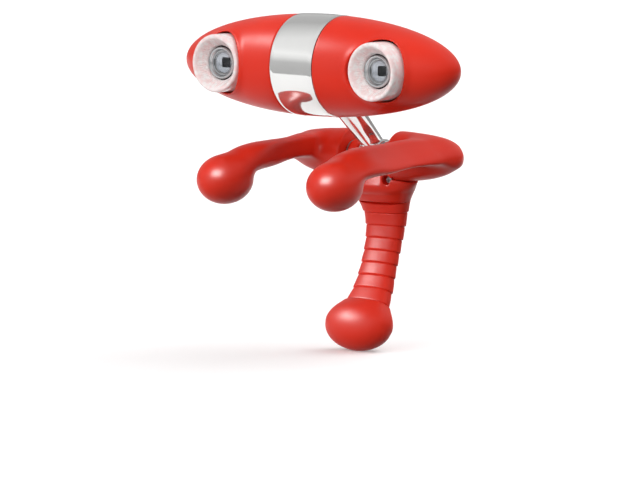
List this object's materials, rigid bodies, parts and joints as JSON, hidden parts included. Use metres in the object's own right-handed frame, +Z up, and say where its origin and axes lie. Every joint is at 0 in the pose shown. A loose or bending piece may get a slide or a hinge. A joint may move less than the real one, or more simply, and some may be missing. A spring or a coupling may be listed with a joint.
{
  "type": "webcam on folding clip stand",
  "caption": "Egg-shaped stereo webcam on a chrome post, with a horseshoe arm frame and a rear leg that fold flat, stand as a tripod or hook over a monitor.",
  "frame": {"origin": "middle of the monitor's top edge, midway between the two pads under the arms", "axes": "+X to the camera's left-hand side as seen from behind it, -Y the way the lenses look, +Z up"},
  "size_m": [0.1044, 0.0643, 0.1032],
  "materials": {
    "red_plastic": "satin, moulded",
    "red_rubber": "soft satin",
    "chrome": "polished",
    "grey_metal": "turned",
    "black_plastic": "matt",
    "black_rubber": "matt",
    "clear_bezel": "clear with a pale tint, fluted inside",
    "board_green": "solder mask",
    "lens_glass": "coated"
  },
  "bodies": {
    "arm_frame": {"left_arm": "red_plastic", "right_arm": "red_plastic", "hub_axle": "grey_metal", "left_hub_washer": "grey_metal", "right_hub_washer": "grey_metal", "left_axle_screw": "grey_metal", "right_axle_screw": "grey_metal", "left_grip_pad": "red_rubber", "right_grip_pad": "red_rubber"},
    "rear_leg": {"leg_core": "red_plastic", "leg_sleeve": "red_rubber", "leg_foot": "red_rubber", "left_clamp_screw": "grey_metal", "right_clamp_screw": "grey_metal"},
    "post": {"post_tube": "chrome", "base_knuckle": "chrome", "head_knuckle": "grey_metal", "left_post_washer": "grey_metal", "right_post_washer": "grey_metal"},
    "head": {"left_head_shell": "red_plastic", "right_head_shell": "red_plastic", "centre_band": "chrome", "cable_gland": "black_rubber", "chassis": "black_plastic", "tilt_axle": "grey_metal", "left_tilt_bush": "black_rubber", "right_tilt_bush": "black_rubber", "left_shell_screw": "grey_metal", "right_shell_screw": "grey_metal", "main_board": "board_green", "video_processor": "black_plastic", "left_lens_bezel": "clear_bezel", "right_lens_bezel": "clear_bezel", "left_lens_holder": "black_plastic", "right_lens_holder": "black_plastic", "left_image_sensor": "black_plastic", "right_image_sensor": "black_plastic", "left_sensor_board": "board_green", "right_sensor_board": "board_green"},
    "left_focus": {"left_focus_ring": "grey_metal", "left_front_lens": "lens_glass", "left_iris_plate": "black_plastic"},
    "right_focus": {"right_focus_ring": "grey_metal", "right_front_lens": "lens_glass", "right_iris_plate": "black_plastic"}
  },
  "joints": [
    {"name": "post_tilt", "type": "hinge", "parent": "arm_frame", "child": "post", "pos_m": [0, 0.02041, 0.00164], "axis": [1, 0, 0], "range_deg": [-72, 10]},
    {"name": "leg_fold", "type": "hinge", "parent": "arm_frame", "child": "rear_leg", "pos_m": [0, 0.02041, 0.00164], "axis": [1, 0, 0], "range_deg": [-76, 6]},
    {"name": "head_tilt", "type": "hinge", "parent": "post", "child": "head", "pos_m": [0, -0.0059, 0.03016], "axis": [1, 0, 0], "range_deg": [-35, 35]},
    {"name": "left_focus_turn", "type": "hinge", "parent": "head", "child": "left_focus", "pos_m": [-0.03, -0.0059, 0.03016], "axis": [0, -1, 0], "range_deg": [-90, 90]},
    {"name": "right_focus_turn", "type": "hinge", "parent": "head", "child": "right_focus", "pos_m": [0.03, -0.0059, 0.03016], "axis": [0, -1, 0], "range_deg": [-90, 90]}
  ]
}
